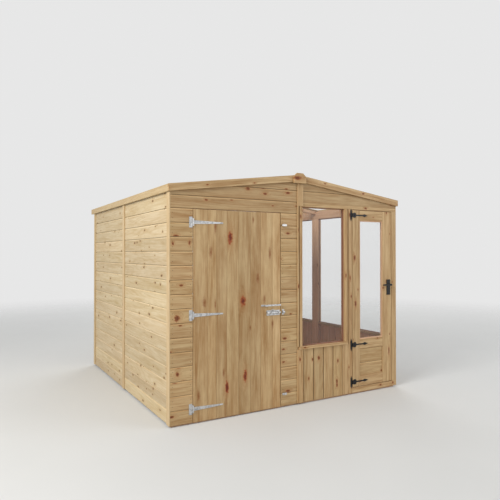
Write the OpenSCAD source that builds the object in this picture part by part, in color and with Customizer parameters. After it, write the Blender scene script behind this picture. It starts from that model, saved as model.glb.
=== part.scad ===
// Garden shed with a boarded store on the left and a glazed growing bay on the right.
// X runs along the front to the right, Y runs to the back and Z is up. All sizes are millimetres.

/* [Front bays] */
// Width of the boarding left of the shed doorway
left_panel_w = 185; // [160:1:320]
// Width of the shed door
door_w = 813; // [650:1:1000]
// Width of the boarding between the shed doorway and the panel joint
mid_panel_w = 197; // [150:1:320]
// Width of the frame between the panel joint and the front window
window_edge_w = 25; // [20:1:33]
// Width of the front window
window_w = 488; // [300:1:800]
// Width of the sash strips beside the front window
sash_w = 26; // [20:1:32]
// Width of the post between the front window and the glazed door
door_post_w = 95; // [80:1:180]
// How far the foot of that post reaches under the front window
post_foot_lap = 23; // [10:1:60]
// Width of the glazed door
glazed_door_w = 505; // [450:1:800]
// Width of the corner post right of the glazed door
corner_post_w = 52; // [48:1:100]
// Running gap round each door
door_gap = 5; // [5:0.5:8]

/* [Walls] */
// Depth of the shed over the cladding
wall_d = 2490; // [1800:10:3600]
// Thickness of the cladding boards
clad_t = 12; // [10:0.5:18]
// Width and depth of studs and rails
frame_t = 34; // [27:1:40]
// Height of the cladding's lower edge over the ground
clad_foot = 15; // [5:1:30]
// Joint left between two panels of one wall
panel_joint = 1; // [0.5:0.1:2]
// Height from the head of the glazed bay to the roof at the side walls
eaves_up = 61; // [55:1:120]
// Rise of the roof from the side walls to the ridge
roof_rise = 158; // [120:1:300]
// Depth of the head board over the glazed bay
head_h = 32; // [25:1:45]
// Width of the cover strips and corner trims
trim_w = 56; // [45:1:80]
// Thickness of the cover strips and corner trims
trim_t = 10; // [6:0.5:15]
// Width of the cover strip over the front joint
joint_strip_w = 62; // [55:1:90]
// Width of that strip's edge beside the front sash
strip_edge_w = 16; // [10:1:20]

/* [Floor] */
// Height of the floor joists
joist_h = 44; // [35:1:60]
// Width of the floor joists
joist_w = 27; // [22:1:45]
// Number of floor joists
joist_count = 10; // [6:1:14]
// Thickness of the floor boards
deck_t = 12; // [10:0.5:20]

/* [Glazing] */
// Height of the window sill's upper face over the ground
sill_top = 505; // [420:1:700]
// Thickness of the window sills
sill_t = 23; // [18:1:35]
// How far the sills stand out of the wall
sill_out = 16; // [12:1:17]
// How far the front sill runs past the window on its left
sill_horn_left = 37; // [25:1:60]
// How far the front sill runs past the window on its right
sill_horn_right = 32; // [20:1:60]
// Thickness of the panes
pane_t = 4; // [3:0.5:6]
// Setting of the panes behind the outer face of the wall
pane_set = 22; // [16:1:28]
// Width of the double post at the middle of the glazed side
double_post_w = 117; // [70:1:160]

/* [Roof] */
// How far the eaves fascias stand out of the side walls
side_over = 22; // [18:1:40]
// How far the roof runs past the back wall
back_over = 88; // [40:1:150]
// Thickness of the roof boards
roof_board_t = 12; // [10:0.5:18]
// Thickness of the roof felt
felt_t = 3; // [2:0.5:4]
// Depth of the fascias and barge boards
fascia_h = 57; // [45:1:90]
// Thickness of the fascias
fascia_t = 14; // [10:1:17]
// Thickness of the barge boards
barge_t = 18; // [12:1:25]
// How far fascias and barge boards stand over the roof covering
fascia_up = 9; // [2:1:15]
// Width of the apex blocks
apex_w = 128; // [90:1:180]
// Height of the apex blocks at the middle
apex_h = 88; // [70:1:120]
// How far the apex blocks stand over the barge boards
apex_up = 13; // [4:1:20]
// Thickness of the apex blocks
apex_t = 16; // [10:1:20]
// Depth of the rafters
rafter_h = 40; // [30:1:52]
// Width of the ridge beam
ridge_w = 44; // [34:1:70]
// Depth of the ridge beam
ridge_h = 70; // [50:1:120]
// Reach of the ridge capping down each slope
cap_reach = 75; // [50:1:120]
// Thickness of the ridge capping
cap_t = 5; // [3:0.5:8]
// Width of the glazing bars over the roof panes
bar_w = 44; // [36:1:60]
// Seating gap between pieces that lie on each other along the slope
slope_seat = 0.2; // [0.1:0.05:0.5]

/* [Shed door] */
// Height of the door's lower edge over the ground
door_foot = 13; // [8:1:30]
// How far the shed door's head lies below the glazed door's head
head_drop = 64; // [50:1:120]
// Thickness of the ledges and braces
ledge_t = 20; // [15:1:25]
// Height of the ledges
ledge_h = 90; // [70:1:120]
// Distance of the ledges from the door's edges
ledge_inset = 45; // [30:1:70]
// Distance from the door's lower edge to the lower hinge
hinge_rise = 105; // [100:1:160]
// Distance from the door's upper edge to the upper hinge
hinge_drop = 103; // [90:1:160]

/* [Glazed door] */
// Height of the glazed door's lower edge over the ground
glazed_foot = 67; // [64:1:90]
// Height of the glazed door
glazed_door_h = 1671; // [1500:1:2000]
// Thickness of the glazed door
glazed_door_t = 28; // [24:1:34]
// Width of its left stile
stile_left_w = 91; // [70:1:130]
// Width of its right stile
stile_right_w = 117; // [100:1:150]
// Height of its bottom rail
rail_low_h = 97; // [70:1:140]
// Height of its boarded panel
panel_h = 256; // [150:1:400]
// Height of its middle rail
rail_mid_h = 91; // [70:1:140]
// Height of its top rail
rail_top_h = 96; // [70:1:140]

/* [Hinges] */
// Thickness of the hinge leaves
hinge_t = 3; // [2:0.5:4]
// Radius of the hinge knuckles
knuckle_r = 6; // [5:0.5:8]
// Radius of the hinge pins
pin_r = 3; // [2.5:0.1:3.5]
// Radial clearance of the strap on its pin
pin_clear = 0.1; // [0.05:0.05:0.3]
// Width of the shed door's hinge plates
plate_w = 34; // [25:1:60]
// Height of the shed door's hinge plates
plate_h = 84; // [70:1:120]
// Height of the shed door's straps at the pin
strap_h = 29; // [20:1:36]
// Length of the shed door's straps
strap_len = 262; // [180:1:400]
// Width of the glazed door's hinge plates
iron_plate_w = 24; // [20:1:32]
// Height of the glazed door's hinge plates
iron_plate_h = 118; // [90:1:140]
// Length of the points at both ends of those plates
iron_point_len = 24; // [12:1:30]
// Height of the glazed door's middle hinge knuckles
iron_knuckle_h = 17; // [12:1:22]
// Height of the glazed door's straps between boss and tip
iron_strap_h = 12; // [10:1:18]
// Length of the glazed door's straps
iron_strap_len = 197; // [170:1:260]
// Length of the boss at the root of those straps
iron_boss_w = 45; // [36:1:60]
// Height of that boss
iron_boss_h = 48; // [36:1:56]
// Length of the spear-shaped tip of those straps
iron_tip_len = 66; // [45:1:80]
// Height of that tip
iron_tip_h = 27; // [20:1:36]

/* [Door furniture] */
// How far the pad bolt lies below the middle hinge
bolt_drop = 22; // [0:1:60]
// Length of the pad bolt's plate
bolt_plate_w = 132; // [110:1:160]
// Height of the pad bolt's plate
bolt_plate_h = 44; // [36:1:60]
// Distance from the door's right edge to the bolt plate
bolt_edge = 10; // [6:1:20]
// Radius of the bolt rod
bolt_r = 6; // [5:0.5:8]
// Radius of the knob on the bolt rod
knob_r = 4.2; // [3:0.1:5]
// How far that knob stands out of the rod
knob_out = 24; // [15:1:30]
// Radial clearance of the rod in its guides
bolt_clear = 0.6; // [0.4:0.1:1]
// Travel of the bolt rod
bolt_travel = 36; // [30:1:44]
// Length of the guides and of the keep along the rod
guide_w = 22; // [16:1:26]
// Height of the pull handle over the bolt
pull_up = 65; // [50:1:120]
// Length of the pull handle
pull_w = 158; // [120:1:200]
// Height of the pull handle's bar
pull_bar_h = 14; // [10:1:20]
// Clear depth behind the pull handle's bar
pull_gap = 22; // [18:1:35]
// Length of the turn buttons
button_w = 48; // [44:1:60]
// Height of the turn buttons
button_h = 18; // [14:1:24]
// Thickness of the turn buttons
button_t = 5; // [3:0.5:8]
// Distance from the shed doorway to the turn buttons' pivots
button_in = 15; // [12:1:20]
// Distance from the wall to the back of the turn buttons
button_out = 10; // [6:1:15]
// Height of the lever handle's spindle over the middle rail
lever_up = 509; // [350:1:600]
// Distance from the glazed door's right edge to the spindle
lever_in = 41; // [35:1:60]
// Length of the lever
lever_len = 95; // [80:1:120]
// Width of the lever handle's plate
lever_plate_w = 46; // [36:1:60]
// Height of the lever handle's plate
lever_plate_h = 150; // [120:1:200]
// Distance from the door's face to the front of the lever
lever_out = 47; // [40:1:55]

/* [Hidden] */
$fn = 48;

// Colours
pine = [0.72, 0.57, 0.38];
pale_pine = [0.80, 0.68, 0.47];
felt_grey = [0.25, 0.26, 0.27];
clear_pane = [0.80, 0.86, 0.88, 0.35];
zinc = [0.75, 0.76, 0.77];
black_iron = [0.08, 0.08, 0.09];

// Front bays from left to right, as spans of X
doorway = [left_panel_w, left_panel_w + door_w + 2 * door_gap];
door_x = [doorway[0] + door_gap, doorway[1] - door_gap];
joint_x = doorway[1] + mid_panel_w;
window_x = [joint_x + window_edge_w, joint_x + window_edge_w + window_w];
glazed_left = window_x[1] + door_post_w;
glazed_doorway = [glazed_left, glazed_left + glazed_door_w + 2 * door_gap];
glazed_x = [glazed_doorway[0] + door_gap, glazed_doorway[1] - door_gap];
wall_w = glazed_doorway[1] + corner_post_w;
ridge_x = wall_w / 2;

joint_strip = [joint_x - trim_w / 2, joint_x - trim_w / 2 + joint_strip_w];
post_foot = [window_x[1] - post_foot_lap, glazed_left];

// Layers of each wall, from its outer face inwards
clad_layer = [0, clad_t];
frame_layer = [clad_t, clad_t + frame_t];
pane_layer = [pane_set, pane_set + pane_t];
strip_layer = [-trim_t, 0];
frame_in = clad_t + frame_t;

// Heights
deck_z = joist_h + deck_t;
glazed_z = [glazed_foot, glazed_foot + glazed_door_h];
head_z = glazed_z[1] + door_gap;
head_top = head_z + head_h;
eaves_z = head_top + eaves_up;
ridge_z = eaves_z + roof_rise;
door_z = [door_foot, glazed_z[1] - head_drop];
lintel_z = door_z[1] + door_gap;
sill_z = [sill_top - sill_t, sill_top];
rail_top_z = head_z + frame_t;

// Roof layers as heights above the boards' lower face
slope = atan(roof_rise / ridge_x);
covering = (roof_board_t + felt_t) / cos(slope);
barge_rise = [covering + fascia_up - fascia_h / cos(slope), covering + fascia_up];
roof_y = [0, wall_d + back_over - barge_t];
fascia_top = roof_z(-side_over) + barge_rise[1];

// Rows of studs along each wall
front_studs = [
    [clad_t, frame_in],
    [doorway[0] - frame_t, doorway[0]],
    [doorway[1], doorway[1] + frame_t],
    [window_x[0] - frame_t, window_x[0]],
    [window_x[1], window_x[1] + frame_t],
    [glazed_doorway[0] - frame_t, glazed_doorway[0]],
    [glazed_doorway[1], wall_w - clad_t]
];
front_rail_bays = [0, 2, 3, 4];
back_mid = (window_x[0] + glazed_doorway[1]) / 2;
back_studs = [
    [clad_t, frame_in],
    around(window_x[0] / 2, frame_t),
    [window_x[0] - frame_t, window_x[0]],
    around(back_mid, frame_t),
    [glazed_doorway[1], wall_w - clad_t]
];
quarters = [1, 2, 3];
left_studs = [for (i = quarters) around(wall_d * i / 4, i == 2 ? trim_w : frame_t)];
right_studs = [for (i = quarters) around(wall_d * i / 4, i == 2 ? double_post_w : frame_t)];
side_ends = [[clad_t, frame_in], [wall_d - frame_in, wall_d - clad_t]];
left_row = concat([side_ends[0]], left_studs, [side_ends[1]]);
right_row = concat([side_ends[0]], right_studs, [side_ends[1]]);

// Hinges and door furniture
shed_pin = [doorway[0] + door_gap / 2, -knuckle_r];
glazed_pin = [glazed_doorway[0] + door_gap / 2, -knuckle_r];
low_hinge = door_z[0] + hinge_rise;
high_hinge = door_z[1] - hinge_drop;
shed_hinges = [low_hinge, (low_hinge + high_hinge) / 2, high_hinge];
panel_z = [glazed_z[0] + rail_low_h, glazed_z[0] + rail_low_h + panel_h];
glass_z = [panel_z[1] + rail_mid_h, glazed_z[1] - rail_top_h];
glass_x = [glazed_x[0] + stile_left_w, glazed_x[1] - stile_right_w];
glazed_hinges = [
    (glazed_z[0] + panel_z[0]) / 2,
    (panel_z[1] + glass_z[0]) / 2,
    (glass_z[1] + glazed_z[1]) / 2
];
bolt_z = shed_hinges[1] - bolt_drop;
bolt_x = [door_x[1] - bolt_edge - bolt_plate_w, door_x[1] - bolt_edge];
bolt_y = -hinge_t - bolt_r - 2 * bolt_clear;
guide_r = bolt_r + bolt_clear;
guide_wall = 3;
keep_x = around(bolt_x[1] + bolt_travel, guide_w);
button_pivot = doorway[1] + button_in;
lever_z = glass_z[0] + lever_up;
lever_x = glazed_x[1] - lever_in;
lever_neck_r = 10;
lever_bar_t = 12;
lever_bar_h = 20;
mid_y = (wall_d + back_over + apex_t - lever_out) / 2;

function around(middle, size) = [middle - size / 2, middle + size / 2];
function from_back(y) = [wall_d - y[1], wall_d - y[0]];
function from_right(x) = [wall_w - x[1], wall_w - x[0]];
function leaf_x(pin, w) = [pin[0] - w, pin[0] - knuckle_r - pin_clear];
function roof_z(x) = eaves_z + roof_rise * (1 - abs(x - ridge_x) / ridge_x);

// Colours a piece and puts the middle of the shed's footprint at the origin
module placed(tone) {
    color(tone) translate([-wall_w / 2, -mid_y, 0]) children();
}

// Squared timber given by its spans along X, Y and Z
module block(x, y, z) {
    translate([x[0], y[0], z[0]]) cube([x[1] - x[0], y[1] - y[0], z[1] - z[0]]);
}

// Outline in X and Z drawn out along a span of Y
module along_y(y) {
    translate([0, y[1], 0]) rotate([90, 0, 0]) linear_extrude(y[1] - y[0]) children();
}

// Bar that follows the roof's slope, with its lower and upper faces given over the boards' lower face
module slope_bar(x, rise, y) {
    along_y(y) polygon([
        [x[0], roof_z(x[0]) + rise[0]],
        [x[1], roof_z(x[1]) + rise[0]],
        [x[1], roof_z(x[1]) + rise[1]],
        [x[0], roof_z(x[0]) + rise[1]]
    ]);
}

// Part of a gable wall between two X values, from a lower edge up to the roof
module gable_sheet(x, y, low) {
    intersection() {
        along_y(y) polygon([
            [0, low],
            [wall_w, low],
            [wall_w, eaves_z - slope_seat],
            [ridge_x, ridge_z - slope_seat],
            [0, eaves_z - slope_seat]
        ]);
        block(x, [y[0] - clad_t, y[1] + clad_t], [low - clad_t, ridge_z + clad_t]);
    }
}

// Short rails between the studs of a row, in the bays that are named
module rails_along_x(studs, bays, y, z) {
    for (i = bays) block([studs[i][1], studs[i + 1][0]], y, z);
}

module rails_along_y(studs, x, z) {
    for (i = [0:len(studs) - 2]) block(x, [studs[i][1], studs[i + 1][0]], z);
}

module joists() {
    floor_y = [clad_t + door_gap, wall_d - clad_t];
    step = (floor_y[1] - floor_y[0] - joist_w) / (joist_count - 1);
    x = [clad_t, wall_w - clad_t];
    placed(pine) for (i = [0:joist_count - 1])
        translate([0, floor_y[0] + i * step, 0]) block(x, [0, joist_w], [0, joist_h]);
}

module floor_deck() {
    placed(pine) block([clad_t, wall_w - clad_t], [clad_t + door_gap, wall_d - clad_t], [joist_h, deck_z]);
}

module bottom_rails() {
    z = [deck_z, deck_z + frame_t];
    placed(pine) {
        rails_along_x(front_studs, front_rail_bays, frame_layer, z);
        rails_along_x(back_studs, [0:len(back_studs) - 2], from_back(frame_layer), z);
        rails_along_y(left_row, frame_layer, z);
        rails_along_y(right_row, from_right(frame_layer), z);
    }
}

module wall_studs() {
    placed(pine) {
        for (x = front_studs) block(x, frame_layer, [deck_z, head_z]);
        for (x = back_studs) block(x, from_back(frame_layer), [deck_z, head_z]);
        for (y = left_studs) block(frame_layer, y, [deck_z, eaves_z - frame_t]);
        for (y = right_studs) block(from_right(frame_layer), y, [deck_z, head_z]);
    }
}

module top_rails() {
    side_y = [frame_in + panel_joint, wall_d - frame_in - panel_joint];
    placed(pine) {
        block([clad_t, wall_w - clad_t], frame_layer, [head_z, rail_top_z]);
        block([clad_t, wall_w - clad_t], from_back(frame_layer), [head_z, rail_top_z]);
        block(doorway, frame_layer, [lintel_z, lintel_z + frame_t - panel_joint]);
        block(frame_layer, side_y, [eaves_z - frame_t, eaves_z]);
        block(from_right(frame_layer), side_y, [head_z, eaves_z]);
    }
}

module front_side_cladding() {
    placed(pine) {
        block([0, doorway[0]], clad_layer, [clad_foot, lintel_z]);
        block([doorway[1], joint_x - panel_joint], clad_layer, [clad_foot, lintel_z]);
    }
}

module front_gable_cladding() {
    placed(pine) {
        gable_sheet([0, joint_x - panel_joint], clad_layer, lintel_z);
        gable_sheet([joint_x, wall_w], clad_layer, head_top);
    }
}

module left_wall_cladding() {
    placed(pale_pine) block(clad_layer, [clad_t, wall_d - clad_t], [clad_foot, eaves_z]);
}

module back_wall_cladding() {
    placed(pine) {
        gable_sheet([0, joint_x - panel_joint], from_back(clad_layer), clad_foot);
        gable_sheet([joint_x, wall_w], from_back(clad_layer), head_top);
    }
}

module low_boards() {
    z = [clad_foot, sill_z[0]];
    placed(pine) {
        block([window_x[0], post_foot[0]], clad_layer, z);
        block([window_x[0], glazed_doorway[1]], from_back(clad_layer), z);
        block(from_right(clad_layer), [clad_t, wall_d - clad_t], z);
    }
}

module window_sills() {
    out_layer = [-sill_out, 0];
    inner_layer = [-sill_out, frame_in];
    placed(pale_pine) {
        block([window_x[0] - sill_horn_left, window_x[1] + sill_horn_right], out_layer, sill_z);
        block(window_x, inner_layer, sill_z);
        for (x = [[back_studs[2][1], back_studs[3][0]], [back_studs[3][1], back_studs[4][0]]])
            block(x, from_back(inner_layer), sill_z);
        for (i = [0:len(right_row) - 2])
            block(from_right([0, frame_in]), [right_row[i][1], right_row[i + 1][0]], sill_z);
        block(from_right(out_layer), [trim_w, wall_d - trim_w], sill_z);
    }
}

// Boards that face the posts of the glazed bay
module greenhouse_posts() {
    full = [clad_foot, head_z];
    upper = [sill_z[0], head_z];
    placed(pale_pine) {
        block([joint_x, window_x[0]], clad_layer, full);
        block([window_x[1], glazed_left], clad_layer, full);
        block(post_foot, clad_layer, [clad_foot, sill_z[0]]);
        block([glazed_doorway[1], wall_w], clad_layer, full);
        block([joint_x, window_x[0]], from_back(clad_layer), full);
        block(back_studs[3], from_back(clad_layer), upper);
        block([glazed_doorway[1], wall_w], from_back(clad_layer), full);
        for (y = right_studs) block(from_right(clad_layer), y, upper);
        block(from_right(clad_layer), [clad_t + panel_joint, frame_in], upper);
        block(from_right(clad_layer), from_back([clad_t + panel_joint, frame_in]), upper);
    }
}

// Head boards over the glazed bay, and the threshold of its door
module greenhouse_rails() {
    corner_in = clad_t + panel_joint;
    placed(pale_pine) {
        block([joint_x, wall_w], clad_layer, [head_z, head_top]);
        block([joint_x, wall_w], from_back(clad_layer), [head_z, head_top]);
        block(from_right(clad_layer), [corner_in, wall_d - corner_in], [head_z, eaves_z]);
        block(glazed_doorway, clad_layer, [clad_foot, glazed_z[0] - door_gap]);
    }
}

module window_panes() {
    z = [sill_z[1], head_z];
    placed(clear_pane) {
        block(window_x, pane_layer, z);
        for (i = [2, 3]) block([back_studs[i][1], back_studs[i + 1][0]], from_back(pane_layer), z);
        for (i = [0:len(right_row) - 2])
            block(from_right(pane_layer), [right_row[i][1], right_row[i + 1][0]], z);
    }
}

// Strips over the joints between wall panels, and the sash strips beside the front window
module cover_strips() {
    side_z = [clad_foot, fascia_top - fascia_h];
    strip_edge = [joint_strip[0], joint_strip[0] + strip_edge_w];
    sash_left = [window_x[0] - sash_w, window_x[0]];
    sash_right = [window_x[1], window_x[1] + sash_w];
    placed(pale_pine) {
        block(joint_strip, strip_layer, [clad_foot, sill_z[0]]);
        for (x = [strip_edge, sash_left, sash_right]) block(x, strip_layer, [sill_z[1], head_z]);
        block(joint_strip, strip_layer, [head_z + panel_joint, roof_z(joint_strip[1]) + barge_rise[0]]);
        block(strip_layer, around(wall_d / 2, trim_w), side_z);
        block(from_right(strip_layer), around(wall_d / 2, trim_w), [sill_z[1], side_z[1]]);
        block(around(joint_x, trim_w), from_back(strip_layer), [clad_foot, sill_z[0]]);
        block(around(joint_x, trim_w), from_back(strip_layer), [sill_z[1], roof_z(joint_x + trim_w / 2)]);
    }
}

module corner_trims() {
    z = [clad_foot, fascia_top - fascia_h];
    ends = [[0, trim_w], from_back([0, trim_w])];
    placed(pale_pine) for (x = [strip_layer, from_right(strip_layer)], y = ends) block(x, y, z);
}

module eaves_fascias() {
    x = [-side_over, fascia_t - side_over];
    placed(pale_pine) for (side = [x, from_right(x)])
        block(side, roof_y, [fascia_top - fascia_h, fascia_top]);
}

module barge_boards() {
    placed(pale_pine) for (y = [[-barge_t, 0], [roof_y[1], roof_y[1] + barge_t]]) {
        slope_bar([-side_over, ridge_x - panel_joint], barge_rise, y);
        slope_bar([ridge_x + panel_joint, wall_w + side_over], barge_rise, y);
    }
}

// House-shaped blocks that cover the joint of the barge boards
module apex_blocks() {
    peak = ridge_z + barge_rise[1] + apex_up;
    shoulder = apex_h / 3;
    flat = apex_w / 4;
    placed(pale_pine) for (y = [-barge_t - apex_t, roof_y[1] + barge_t])
        along_y([y, y + apex_t]) polygon([
            [ridge_x - apex_w / 2, peak - apex_h],
            [ridge_x + apex_w / 2, peak - apex_h],
            [ridge_x + apex_w / 2, peak - shoulder],
            [ridge_x + flat, peak],
            [ridge_x - flat, peak],
            [ridge_x - apex_w / 2, peak - shoulder]
        ]);
}

module ridge_beam() {
    half = ridge_w / 2;
    placed(pine) along_y([clad_t, wall_d - clad_t]) polygon([
        [ridge_x - half, ridge_z - ridge_h],
        [ridge_x + half, ridge_z - ridge_h],
        [ridge_x + half, roof_z(ridge_x + half) - slope_seat],
        [ridge_x, ridge_z - slope_seat],
        [ridge_x - half, roof_z(ridge_x - half) - slope_seat]
    ]);
}

module rafters() {
    rise = [-rafter_h, -slope_seat];
    gable_rows = [frame_layer, from_back(frame_layer)];
    mid_row = around(wall_d / 2, frame_t);
    placed(pine) {
        for (y = concat(gable_rows, [mid_row])) slope_bar([frame_in, ridge_x - ridge_w / 2], rise, y);
        for (y = concat(gable_rows, [for (i = quarters) around(wall_d * i / 4, frame_t)]))
            slope_bar([ridge_x + ridge_w / 2, wall_w - frame_in], rise, y);
    }
}

module roof_boards() {
    placed(pine) slope_bar([fascia_t - side_over, ridge_x], [0, roof_board_t / cos(slope)], roof_y);
}

module roof_felt() {
    rise = [roof_board_t / cos(slope) + slope_seat, covering];
    placed(felt_grey) slope_bar([fascia_t - side_over, ridge_x], rise, roof_y);
}

// Edges of the roof panes along Y, at the rafters that carry them
module roof_panes() {
    edges = concat([roof_y[0]], [for (i = quarters) wall_d * i / 4], [roof_y[1]]);
    x = [ridge_x + panel_joint, wall_w + side_over - fascia_t];
    placed(clear_pane) for (i = [0:len(edges) - 2])
        slope_bar(x, [0, pane_t], [edges[i] + panel_joint, edges[i + 1] - panel_joint]);
}

module glazing_bars() {
    x = [ridge_x + panel_joint, wall_w + side_over - fascia_t];
    ends = [[roof_y[0], roof_y[0] + bar_w], [roof_y[1] - bar_w, roof_y[1]]];
    placed(pine) for (y = concat(ends, [for (i = quarters) around(wall_d * i / 4, bar_w)]))
        slope_bar(x, [pane_t + slope_seat, covering], y);
}

module ridge_cap() {
    far = ridge_x + cap_reach;
    near = ridge_x - cap_reach;
    low = covering + slope_seat;
    high = low + cap_t;
    placed(felt_grey) along_y(roof_y) polygon([
        [near, roof_z(near) + low],
        [ridge_x, ridge_z + low],
        [far, roof_z(far) + low],
        [far, roof_z(far) + high],
        [ridge_x, ridge_z + high],
        [near, roof_z(near) + high]
    ]);
}

// Outer knuckles of a tee hinge with their roots on the fixed leaf, and its pin
module plate_knuckles(pin, z, w, strap) {
    gap = pin_clear * 2;
    knuckle_h = strap / 2;
    for (low = [z - strap / 2 - gap - knuckle_h, z + strap / 2 + gap]) {
        translate([pin[0], pin[1], low]) cylinder(r = knuckle_r, h = knuckle_h);
        block([pin[0] - w, pin[0]], [-hinge_t, 0], [low, low + knuckle_h]);
    }
    translate([pin[0], pin[1], z - strap]) cylinder(r = pin_r, h = 2 * strap);
}

// Middle knuckle of a tee hinge, bored for its pin, with the root of its strap
module strap_knuckle(pin, z, strap) {
    difference() {
        union() {
            translate([pin[0], pin[1], z - strap / 2]) cylinder(r = knuckle_r, h = strap);
            block([pin[0], pin[0] + 2 * knuckle_r], [-hinge_t, 0], around(z, strap));
        }
        translate([pin[0], pin[1], z - strap]) cylinder(r = pin_r + pin_clear, h = 2 * strap);
    }
}

module shed_hinge_plates() {
    placed(zinc) for (z = shed_hinges) {
        plate_knuckles(shed_pin, z, plate_w, strap_h);
        block(leaf_x(shed_pin, plate_w), [-hinge_t, 0], around(z, plate_h));
    }
}

// Plain tapered straps with a round tip
module shed_hinge_straps() {
    tip_r = strap_h / 5;
    root = shed_pin[0] + knuckle_r;
    tip = shed_pin[0] + strap_len - tip_r;
    placed(zinc) for (z = shed_hinges) {
        strap_knuckle(shed_pin, z, strap_h);
        along_y([-hinge_t, 0]) union() {
            polygon([
                [root, z - strap_h / 2],
                [tip, z - tip_r],
                [tip, z + tip_r],
                [root, z + strap_h / 2]
            ]);
            translate([tip, z]) circle(r = tip_r);
        }
    }
}

// Leaves that run to a point at both ends
module greenhouse_hinge_plates() {
    leaf = leaf_x(glazed_pin, iron_plate_w);
    middle = (leaf[0] + leaf[1]) / 2;
    shoulder = iron_plate_h / 2 - iron_point_len;
    upper_edge = [
        [leaf[0], shoulder],
        [middle, iron_plate_h / 2],
        [leaf[1], shoulder]
    ];
    lower_edge = [for (i = [len(upper_edge) - 1:-1:0]) [upper_edge[i][0], -upper_edge[i][1]]];
    placed(black_iron) for (z = glazed_hinges) {
        plate_knuckles(glazed_pin, z, iron_plate_w, iron_knuckle_h);
        along_y([-hinge_t, 0]) translate([0, z]) polygon(concat(upper_edge, lower_edge));
    }
}

// Straps with an eight-sided boss near the pin, a slim bar and a spear-shaped tip
module greenhouse_hinge_straps() {
    root = glazed_pin[0] + knuckle_r;
    boss_end = root + iron_boss_w;
    tip = glazed_pin[0] + iron_strap_len;
    tip_root = tip - iron_tip_len;
    widest = tip_root + iron_tip_len / 3;
    cut = iron_boss_h / 4;
    bar = iron_strap_h / 2;
    upper_edge = [
        [root, iron_boss_h / 2 - cut],
        [root + cut, iron_boss_h / 2],
        [boss_end - cut, iron_boss_h / 2],
        [boss_end, bar],
        [tip_root, bar],
        [widest, iron_tip_h / 2]
    ];
    lower_edge = [for (i = [len(upper_edge) - 1:-1:0]) [upper_edge[i][0], -upper_edge[i][1]]];
    placed(black_iron) for (z = glazed_hinges) {
        strap_knuckle(glazed_pin, z, iron_knuckle_h);
        along_y([-hinge_t, 0]) translate([0, z]) polygon(concat(upper_edge, [[tip, 0]], lower_edge));
    }
}

// Round bar on the bolt's axis
module rod_along(x, r) {
    translate([x[0], bolt_y, bolt_z]) rotate([0, 90, 0]) cylinder(r = r, h = x[1] - x[0]);
}

// Saddle that stands on a plate and guides a round rod
module rod_saddle(x, base) {
    r = guide_r + guide_wall;
    difference() {
        union() {
            rod_along(x, r);
            block(x, [bolt_y, base], around(bolt_z, 2 * r));
        }
        rod_along([x[0] - r, x[1] + r], guide_r);
    }
}

module bolt_plate() {
    placed(zinc) {
        block(bolt_x, [-hinge_t, 0], around(bolt_z, bolt_plate_h));
        rod_saddle([bolt_x[0], bolt_x[0] + guide_w], -hinge_t);
        rod_saddle([bolt_x[1] - guide_w, bolt_x[1]], -hinge_t);
    }
}

// Keep on the jamb that the rod slides into
module bolt_keep() {
    placed(zinc) {
        block(keep_x, [-hinge_t, 0], around(bolt_z, bolt_plate_h));
        rod_saddle(keep_x, -hinge_t);
    }
}

// Rod of the pad bolt, drawn back, with a knob that stands out between the guides
module bolt_rod() {
    knob_x = bolt_x[0] + guide_w + 2 * bolt_r;
    placed(zinc) {
        rod_along(bolt_x, bolt_r);
        translate([knob_x, bolt_y, bolt_z]) rotate([90, 0, 0]) cylinder(r = knob_r, h = knob_out);
    }
}

// Slim bar on two feet
module pull_handle() {
    x = [bolt_x[1] - pull_w, bolt_x[1]];
    z = around(bolt_z + pull_up, pull_bar_h);
    foot_w = 2 * pull_bar_h;
    bar_y = [-pull_gap - hinge_t, -pull_gap];
    placed(zinc) {
        block(x, bar_y, z);
        for (foot = [[x[0], x[0] + hinge_t], [x[1] - hinge_t, x[1]]]) block(foot, [-pull_gap, 0], z);
        for (pad = [[x[0] - foot_w, x[0] + hinge_t], [x[1] - hinge_t, x[1] + bolt_edge / 2]])
            block(pad, [-hinge_t, 0], z);
    }
}

// Turn button on its boss, turned away from the door
module turn_button(z) {
    r = button_h / 2;
    bar_y = [-button_out - button_t, -button_out];
    end_x = button_pivot + button_w - 2 * r;
    placed(zinc) {
        along_y(bar_y) union() {
            block_outline([button_pivot, end_x], around(z, button_h));
            for (x = [button_pivot, end_x]) translate([x, z]) circle(r = r);
        }
        translate([button_pivot, 0, z]) rotate([90, 0, 0]) cylinder(r = r / 2, h = button_out);
    }
}

module block_outline(x, z) {
    translate([x[0], z[0]]) square([x[1] - x[0], z[1] - z[0]]);
}

module turn_button_top() {
    turn_button(shed_hinges[2]);
}

module turn_button_bottom() {
    turn_button(shed_hinges[0]);
}

module shed_door_boards() {
    placed(pine) block(door_x, clad_layer, door_z);
}

module shed_door_ledges() {
    x = [door_x[0] + ledge_inset, door_x[1] - ledge_inset];
    placed(pine) for (z = shed_hinges) block(x, [clad_t, clad_t + ledge_t], around(z, ledge_h));
}

// Braces that rise from the hinge side between the ledges
module shed_door_braces() {
    x = [door_x[0] + ledge_inset, door_x[1] - ledge_inset];
    placed(pine) for (i = [0, 1]) {
        z = [shed_hinges[i] + ledge_h / 2, shed_hinges[i + 1] - ledge_h / 2];
        along_y([clad_t, clad_t + ledge_t])
            polygon([[x[0], z[0]], [x[0] + ledge_h, z[0]], [x[1], z[1]], [x[1] - ledge_h, z[1]]]);
    }
}

module greenhouse_door_stiles() {
    placed(pale_pine) for (x = [[glazed_x[0], glass_x[0]], [glass_x[1], glazed_x[1]]])
        block(x, [0, glazed_door_t], glazed_z);
}

module greenhouse_door_rails() {
    spans = [[glazed_z[0], panel_z[0]], [panel_z[1], glass_z[0]], [glass_z[1], glazed_z[1]]];
    placed(pale_pine) for (z = spans) block(glass_x, [0, glazed_door_t], z);
}

module greenhouse_door_boards() {
    placed(pine) block(glass_x, around(glazed_door_t / 2, clad_t), panel_z);
}

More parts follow.
